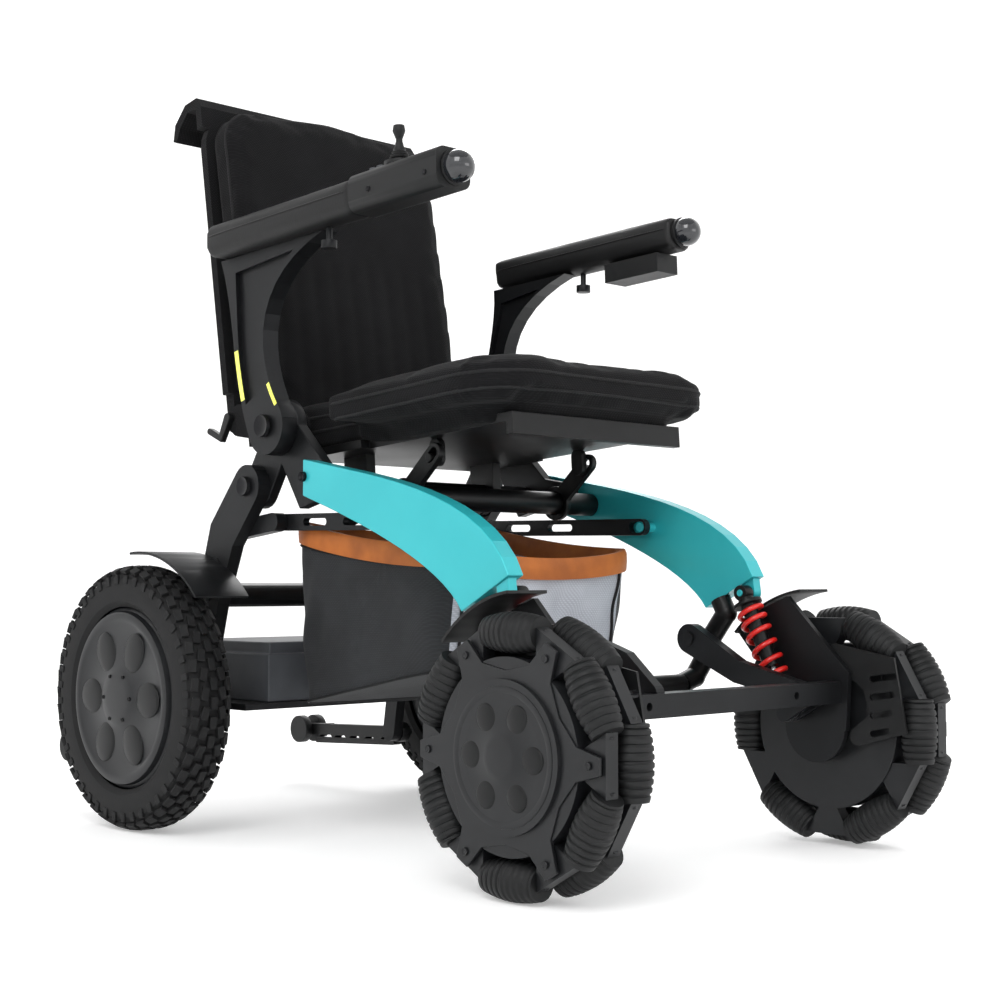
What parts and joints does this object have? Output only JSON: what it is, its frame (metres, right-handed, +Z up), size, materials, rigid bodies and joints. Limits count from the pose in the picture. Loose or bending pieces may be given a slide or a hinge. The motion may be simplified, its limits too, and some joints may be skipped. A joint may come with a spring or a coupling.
{
  "type": "power wheelchair",
  "caption": "Folding power wheelchair with omni-roller front wheels, hub-motor rear wheels, sprung front axle, tilting seat, reclining back and flip-up armrests.",
  "frame": {"origin": "on the floor, under the middle of the chair's bounding box", "axes": "+Z up, -Y towards the front of the chair, +X towards the user's left"},
  "size_m": [0.6, 1.08, 0.9231],
  "materials": {
    "teal_paint": "satin metallic powder coat",
    "charcoal_paint": "satin powder coat",
    "black_paint": "satin powder coat",
    "bag_fabric": "woven nylon with leather rim",
    "seat_fabric": "knitted mesh fabric",
    "black_plastic": "moulded, fine texture",
    "arm_vinyl": "padded vinyl",
    "black_rubber": "moulded rubber",
    "battery_case": "moulded plastic",
    "tyre": "moulded tread rubber",
    "hub_cover": "moulded plastic",
    "polished_rod": "polished",
    "red_spring": "gloss paint",
    "roller_rubber": "ribbed moulded rubber"
  },
  "bodies": {
    "main_frame": {"side_beam_right": "teal_paint", "side_beam_left": "teal_paint", "side_plates": "charcoal_paint", "cross_tubes": "black_paint", "lower_hoop": "black_paint", "cargo_bag": "bag_fabric"},
    "seat": {"seat_pan": "black_paint", "seat_cushion": "seat_fabric"},
    "seat_links": {"seat_links": "black_paint"},
    "backrest": {"backrest_shell": "black_plastic", "backrest_pad": "seat_fabric"},
    "recline_lever": {"recline_lever": "black_plastic"},
    "armrest_right": {"armrest_arm_right": "charcoal_paint", "armrest_pad_right": "arm_vinyl", "control_pod": "black_plastic"},
    "armrest_left": {"armrest_arm_left": "charcoal_paint", "armrest_pad_left": "arm_vinyl", "control_box": "black_plastic"},
    "joystick_gimbal": {"joystick_gimbal": "black_plastic"},
    "joystick_stick": {"joystick_stick": "black_rubber"},
    "rear_frame": {"rear_frame": "charcoal_paint", "battery_box": "battery_case"},
    "fold_struts": {"fold_struts": "charcoal_paint"},
    "anti_tip_arms": {"anti_tip_arms": "black_paint"},
    "anti_tip_wheels": {"anti_tip_wheels": "black_rubber"},
    "rear_wheel_right": {"rear_tyre_right": "tyre", "rear_hub_right": "hub_cover"},
    "rear_wheel_left": {"rear_tyre_left": "tyre", "rear_hub_left": "hub_cover"},
    "front_axle": {"front_axle_frame": "charcoal_paint", "front_fenders": "black_plastic"},
    "shock_bodies": {"shock_bodies": "black_paint", "shock_springs": "red_spring"},
    "shock_rods": {"shock_rods": "polished_rod"},
    "front_wheel_right": {"front_hub_right": "hub_cover"},
    "front_wheel_left": {"front_hub_left": "hub_cover"},
    "roller_right_01": {"roller_right_01": "roller_rubber"},
    "roller_right_02": {"roller_right_02": "roller_rubber"},
    "roller_right_03": {"roller_right_03": "roller_rubber"},
    "roller_right_04": {"roller_right_04": "roller_rubber"},
    "roller_right_05": {"roller_right_05": "roller_rubber"},
    "roller_right_06": {"roller_right_06": "roller_rubber"},
    "roller_right_07": {"roller_right_07": "roller_rubber"},
    "roller_right_08": {"roller_right_08": "roller_rubber"},
    "roller_right_09": {"roller_right_09": "roller_rubber"},
    "roller_right_10": {"roller_right_10": "roller_rubber"},
    "roller_right_11": {"roller_right_11": "roller_rubber"},
    "roller_right_12": {"roller_right_12": "roller_rubber"},
    "roller_left_01": {"roller_left_01": "roller_rubber"},
    "roller_left_02": {"roller_left_02": "roller_rubber"},
    "roller_left_03": {"roller_left_03": "roller_rubber"},
    "roller_left_04": {"roller_left_04": "roller_rubber"},
    "roller_left_05": {"roller_left_05": "roller_rubber"},
    "roller_left_06": {"roller_left_06": "roller_rubber"},
    "roller_left_07": {"roller_left_07": "roller_rubber"},
    "roller_left_08": {"roller_left_08": "roller_rubber"},
    "roller_left_09": {"roller_left_09": "roller_rubber"},
    "roller_left_10": {"roller_left_10": "roller_rubber"},
    "roller_left_11": {"roller_left_11": "roller_rubber"},
    "roller_left_12": {"roller_left_12": "roller_rubber"}
  },
  "joints": [
    {"name": "rear_fold", "type": "hinge", "parent": "main_frame", "child": "rear_frame", "pos_m": [0, 0.125, 0.412], "axis": [-1, 0, 0], "range_deg": [0, 14], "deforming": ["cargo_bag"]},
    {"name": "strut_swing", "type": "hinge", "parent": "rear_frame", "child": "fold_struts", "pos_m": [0, 0.094, 0.369], "axis": [1, 0, 0], "range_deg": [0, 16.44]},
    {"name": "anti_tip_fold", "type": "hinge", "parent": "rear_frame", "child": "anti_tip_arms", "pos_m": [0, 0.305, 0.085], "axis": [1, 0, 0], "range_deg": [0, 90]},
    {"name": "anti_tip_roll", "type": "hinge", "parent": "anti_tip_arms", "child": "anti_tip_wheels", "pos_m": [0, 0.52, 0.077], "axis": [1, 0, 0], "continuous": true},
    {"name": "rear_wheel_right_spin", "type": "hinge", "parent": "rear_frame", "child": "rear_wheel_right", "pos_m": [-0.27, 0.245, 0.159], "axis": [1, 0, 0], "continuous": true},
    {"name": "rear_wheel_left_spin", "type": "hinge", "parent": "rear_frame", "child": "rear_wheel_left", "pos_m": [0.27, 0.245, 0.159], "axis": [1, 0, 0], "continuous": true},
    {"name": "seat_tilt", "type": "hinge", "parent": "main_frame", "child": "seat", "pos_m": [0, 0.03, 0.408], "axis": [-1, 0, 0], "range_deg": [0, 5]},
    {"name": "seat_link_swing", "type": "hinge", "parent": "main_frame", "child": "seat_links", "pos_m": [0, -0.07572, 0.39544], "axis": [-1, 0, 0], "range_deg": [0, 10.33]},
    {"name": "backrest_fold", "type": "hinge", "parent": "main_frame", "child": "backrest", "pos_m": [0, 0.08, 0.481], "axis": [1, 0, 0], "range_deg": [-20, 95]},
    {"name": "recline_lever_pull", "type": "hinge", "parent": "backrest", "child": "recline_lever", "pos_m": [-0.178, 0.20101, 0.50131], "axis": [1, 0, 0], "range_deg": [0, 20], "stiffness_Nm_per_rad": 0.5, "springref_deg": -11.46},
    {"name": "armrest_right_flip", "type": "hinge", "parent": "main_frame", "child": "armrest_right", "pos_m": [-0.2, 0.08, 0.481], "axis": [-1, 0, 0], "range_deg": [0, 60]},
    {"name": "armrest_left_flip", "type": "hinge", "parent": "main_frame", "child": "armrest_left", "pos_m": [0.2, 0.08, 0.481], "axis": [-1, 0, 0], "range_deg": [0, 60]},
    {"name": "joystick_pitch", "type": "hinge", "parent": "armrest_right", "child": "joystick_gimbal", "pos_m": [-0.2084, -0.16498, 0.74429], "axis": [1, 0, 0], "range_deg": [-15, 15], "stiffness_Nm_per_rad": 0.4},
    {"name": "joystick_roll", "type": "hinge", "parent": "joystick_gimbal", "child": "joystick_stick", "pos_m": [-0.2084, -0.16498, 0.74429], "axis": [0, 0.9991, -0.0419], "range_deg": [-15, 15], "stiffness_Nm_per_rad": 0.4},
    {"name": "front_axle_swing", "type": "hinge", "parent": "main_frame", "child": "front_axle", "pos_m": [0, -0.267, 0.232], "axis": [-1, 0, 0], "range_deg": [0, 5], "stiffness_Nm_per_rad": 300, "springref_deg": -14.32},
    {"name": "shock_tilt", "type": "hinge", "parent": "main_frame", "child": "shock_bodies", "pos_m": [0, -0.321, 0.285], "axis": [-1, 0, 0], "range_deg": [0, 4.54]},
    {"name": "shock_stroke", "type": "slide", "parent": "shock_bodies", "child": "shock_rods", "axis": [0, 0.4284, 0.9036], "range_m": [0, 0.0068], "deforming": ["shock_springs"]},
    {"name": "front_wheel_right_spin", "type": "hinge", "parent": "front_axle", "child": "front_wheel_right", "pos_m": [-0.251, -0.405, 0.135], "axis": [1, 0, 0], "continuous": true},
    {"name": "roller_right_01_roll", "type": "hinge", "parent": "front_wheel_right", "child": "roller_right_01", "pos_m": [-0.2685, -0.405, 0.25], "axis": [0, -1, 0], "continuous": true},
    {"name": "roller_right_02_roll", "type": "hinge", "parent": "front_wheel_right", "child": "roller_right_02", "pos_m": [-0.2335, -0.4625, 0.23459], "axis": [0, -0.866, -0.5], "continuous": true},
    {"name": "roller_right_03_roll", "type": "hinge", "parent": "front_wheel_right", "child": "roller_right_03", "pos_m": [-0.2685, -0.50459, 0.1925], "axis": [0, -0.5, -0.866], "continuous": true},
    {"name": "roller_right_04_roll", "type": "hinge", "parent": "front_wheel_right", "child": "roller_right_04", "pos_m": [-0.2335, -0.52, 0.135], "axis": [0, 0, -1], "continuous": true},
    {"name": "roller_right_05_roll", "type": "hinge", "parent": "front_wheel_right", "child": "roller_right_05", "pos_m": [-0.2685, -0.50459, 0.0775], "axis": [0, 0.5, -0.866], "continuous": true},
    {"name": "roller_right_06_roll", "type": "hinge", "parent": "front_wheel_right", "child": "roller_right_06", "pos_m": [-0.2335, -0.4625, 0.03541], "axis": [0, 0.866, -0.5], "continuous": true},
    {"name": "roller_right_07_roll", "type": "hinge", "parent": "front_wheel_right", "child": "roller_right_07", "pos_m": [-0.2685, -0.405, 0.02], "axis": [0, 1, 0], "continuous": true},
    {"name": "roller_right_08_roll", "type": "hinge", "parent": "front_wheel_right", "child": "roller_right_08", "pos_m": [-0.2335, -0.3475, 0.03541], "axis": [0, 0.866, 0.5], "continuous": true},
    {"name": "roller_right_09_roll", "type": "hinge", "parent": "front_wheel_right", "child": "roller_right_09", "pos_m": [-0.2685, -0.30541, 0.0775], "axis": [0, 0.5, 0.866], "continuous": true},
    {"name": "roller_right_10_roll", "type": "hinge", "parent": "front_wheel_right", "child": "roller_right_10", "pos_m": [-0.2335, -0.29, 0.135], "axis": [0, 0, 1], "continuous": true},
    {"name": "roller_right_11_roll", "type": "hinge", "parent": "front_wheel_right", "child": "roller_right_11", "pos_m": [-0.2685, -0.30541, 0.1925], "axis": [0, -0.5, 0.866], "continuous": true},
    {"name": "roller_right_12_roll", "type": "hinge", "parent": "front_wheel_right", "child": "roller_right_12", "pos_m": [-0.2335, -0.3475, 0.23459], "axis": [0, -0.866, 0.5], "continuous": true},
    {"name": "front_wheel_left_spin", "type": "hinge", "parent": "front_axle", "child": "front_wheel_left", "pos_m": [0.251, -0.405, 0.135], "axis": [1, 0, 0], "continuous": true},
    {"name": "roller_left_01_roll", "type": "hinge", "parent": "front_wheel_left", "child": "roller_left_01", "pos_m": [0.2685, -0.405, 0.25], "axis": [0, -1, 0], "continuous": true},
    {"name": "roller_left_02_roll", "type": "hinge", "parent": "front_wheel_left", "child": "roller_left_02", "pos_m": [0.2335, -0.4625, 0.23459], "axis": [0, -0.866, -0.5], "continuous": true},
    {"name": "roller_left_03_roll", "type": "hinge", "parent": "front_wheel_left", "child": "roller_left_03", "pos_m": [0.2685, -0.50459, 0.1925], "axis": [0, -0.5, -0.866], "continuous": true},
    {"name": "roller_left_04_roll", "type": "hinge", "parent": "front_wheel_left", "child": "roller_left_04", "pos_m": [0.2335, -0.52, 0.135], "axis": [0, 0, -1], "continuous": true},
    {"name": "roller_left_05_roll", "type": "hinge", "parent": "front_wheel_left", "child": "roller_left_05", "pos_m": [0.2685, -0.50459, 0.0775], "axis": [0, 0.5, -0.866], "continuous": true},
    {"name": "roller_left_06_roll", "type": "hinge", "parent": "front_wheel_left", "child": "roller_left_06", "pos_m": [0.2335, -0.4625, 0.03541], "axis": [0, 0.866, -0.5], "continuous": true},
    {"name": "roller_left_07_roll", "type": "hinge", "parent": "front_wheel_left", "child": "roller_left_07", "pos_m": [0.2685, -0.405, 0.02], "axis": [0, 1, 0], "continuous": true},
    {"name": "roller_left_08_roll", "type": "hinge", "parent": "front_wheel_left", "child": "roller_left_08", "pos_m": [0.2335, -0.3475, 0.03541], "axis": [0, 0.866, 0.5], "continuous": true},
    {"name": "roller_left_09_roll", "type": "hinge", "parent": "front_wheel_left", "child": "roller_left_09", "pos_m": [0.2685, -0.30541, 0.0775], "axis": [0, 0.5, 0.866], "continuous": true},
    {"name": "roller_left_10_roll", "type": "hinge", "parent": "front_wheel_left", "child": "roller_left_10", "pos_m": [0.2335, -0.29, 0.135], "axis": [0, 0, 1], "continuous": true},
    {"name": "roller_left_11_roll", "type": "hinge", "parent": "front_wheel_left", "child": "roller_left_11", "pos_m": [0.2685, -0.30541, 0.1925], "axis": [0, -0.5, 0.866], "continuous": true},
    {"name": "roller_left_12_roll", "type": "hinge", "parent": "front_wheel_left", "child": "roller_left_12", "pos_m": [0.2335, -0.3475, 0.23459], "axis": [0, -0.866, 0.5], "continuous": true}
  ],
  "couplings": [
    {"joint": "strut_swing", "follows": "rear_fold", "ratio": 1.1389},
    {"joint": "seat_link_swing", "follows": "seat_tilt", "ratio": 1.9668},
    {"joint": "shock_tilt", "follows": "front_axle_swing", "ratio": 0.849},
    {"joint": "shock_stroke", "follows": "front_axle_swing", "m_per_rad": 0.0723}
  ]
}
